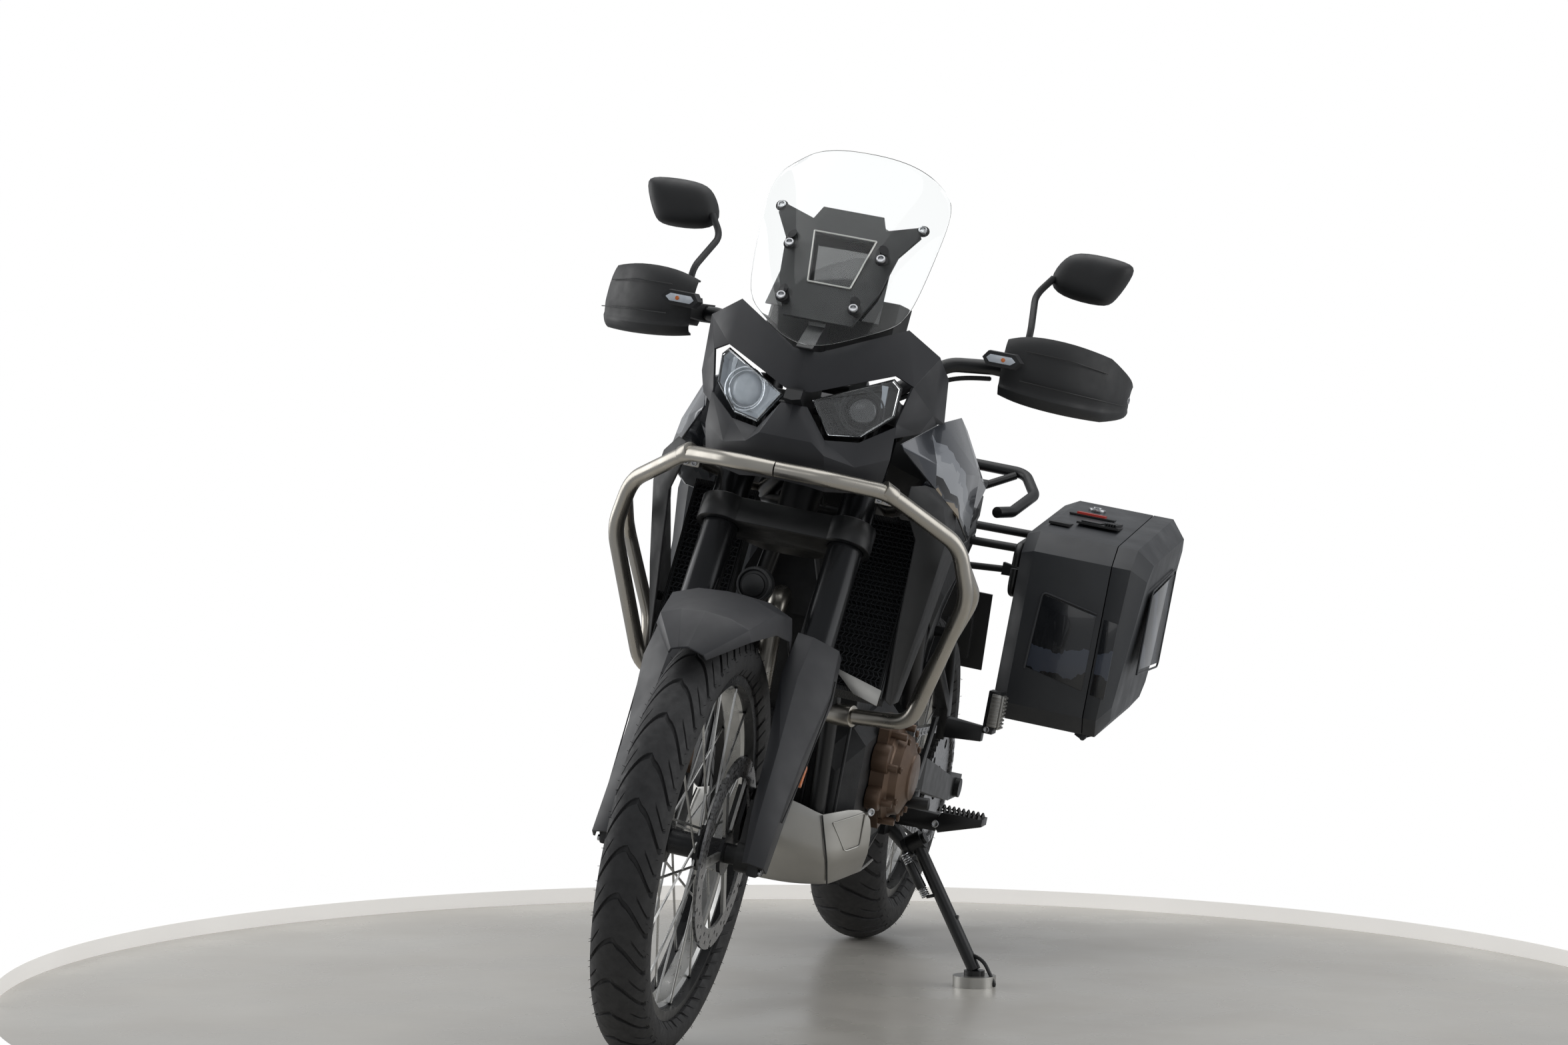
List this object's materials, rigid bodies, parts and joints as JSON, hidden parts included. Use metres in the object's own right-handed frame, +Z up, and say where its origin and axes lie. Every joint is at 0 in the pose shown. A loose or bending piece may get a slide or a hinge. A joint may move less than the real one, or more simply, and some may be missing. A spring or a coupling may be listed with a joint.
{
  "type": "adventure motorcycle",
  "caption": "Large adventure motorcycle with wire wheels, crash bars, tall screen and hard side cases, leaning on its side stand.",
  "frame": {"origin": "on the floor under the middle of the leant machine", "axes": "+Y towards the rear of the machine, +Z up, +X towards its left"},
  "size_m": [1.0234, 2.2624, 1.4711],
  "materials": {
    "charcoal_plastic": "fine grain matte",
    "case_plastic": "satin",
    "black_plastic": "matte",
    "gloss_panel": "gloss metallic grey",
    "black_metal": "satin black",
    "stainless": "brushed",
    "bronze_cover": "satin bronze",
    "bare_aluminium": "brushed",
    "wheel_black": "satin black",
    "tyre_rubber": "matte",
    "seat_cover": "matte grained",
    "clear_screen": "clear",
    "red_lens": "gloss"
  },
  "bodies": {
    "root": {"crash_bars": "stainless", "drive_chain": "stainless", "engine_block": "black_metal", "engine_covers": "bronze_cover", "exhaust": "stainless", "foot_controls": "black_metal", "fuel_tank": "gloss_panel", "headlights": "clear_screen", "instrument_panel": "black_plastic", "main_frame": "black_metal", "nose_cowl": "charcoal_plastic", "pannier_box_left": "case_plastic", "pannier_box_right": "case_plastic", "passenger_hangers": "black_metal", "passenger_seat": "seat_cover", "radiators": "bare_aluminium", "rear_light": "red_lens", "rear_rack": "black_metal", "rear_shock": "black_metal", "rider_seat": "seat_cover", "side_covers": "black_plastic", "side_shrouds": "black_plastic", "skid_plate": "bare_aluminium", "subframe": "black_metal", "swingarm": "black_metal", "tail_unit": "black_plastic", "tank_side_panels": "gloss_panel", "windscreen": "clear_screen"},
    "steering": {"fork_tubes": "black_metal", "fork_legs": "black_metal", "front_calipers": "black_metal", "triple_clamps": "black_metal", "front_fender": "charcoal_plastic", "fork_guards": "charcoal_plastic", "handlebar": "black_metal", "hand_controls": "black_plastic", "handguards": "black_plastic", "mirrors": "black_plastic", "front_indicators": "clear_screen"},
    "front_wheel": {"front_tyre": "tyre_rubber", "front_wire_wheel": "wheel_black", "front_disc_left": "stainless", "front_disc_right": "stainless"},
    "rear_wheel": {"rear_tyre": "tyre_rubber", "rear_wire_wheel": "wheel_black", "rear_disc": "stainless", "rear_sprocket": "stainless"},
    "side_stand": {"side_stand": "black_metal", "stand_plate": "bare_aluminium"},
    "lid_left": {"pannier_lid_left": "charcoal_plastic"},
    "lid_right": {"pannier_lid_right": "charcoal_plastic"}
  },
  "joints": [
    {"name": "steering_turn", "type": "hinge", "parent": "root", "child": "steering", "pos_m": [-0.01761, -0.44949, 0.84674], "axis": [0.1602, 0.4614, 0.8726], "range_deg": [-36, 36]},
    {"name": "front_wheel_spin", "type": "hinge", "parent": "steering", "child": "front_wheel", "pos_m": [-0.11014, -0.78372, 0.34255], "axis": [0.9836, 0, -0.1805], "continuous": true},
    {"name": "rear_wheel_spin", "type": "hinge", "parent": "root", "child": "rear_wheel", "pos_m": [-0.11265, 0.79129, 0.32888], "axis": [0.9836, 0, -0.1805], "continuous": true},
    {"name": "side_stand_swing", "type": "hinge", "parent": "root", "child": "side_stand", "pos_m": [0.06679, 0.20131, 0.25403], "axis": [0.8765, -0.107, 0.4693], "range_deg": [0, 94.3]},
    {"name": "lid_left_hinge", "type": "hinge", "parent": "root", "child": "lid_left", "pos_m": [0.31544, 0.75622, 0.44001], "axis": [0.0137, 0.9971, 0.0746], "range_deg": [0, 80]},
    {"name": "lid_right_hinge", "type": "hinge", "parent": "root", "child": "lid_right", "pos_m": [-0.47338, 0.75622, 0.58479], "axis": [-0.0137, -0.9971, -0.0746], "range_deg": [0, 80]}
  ]
}
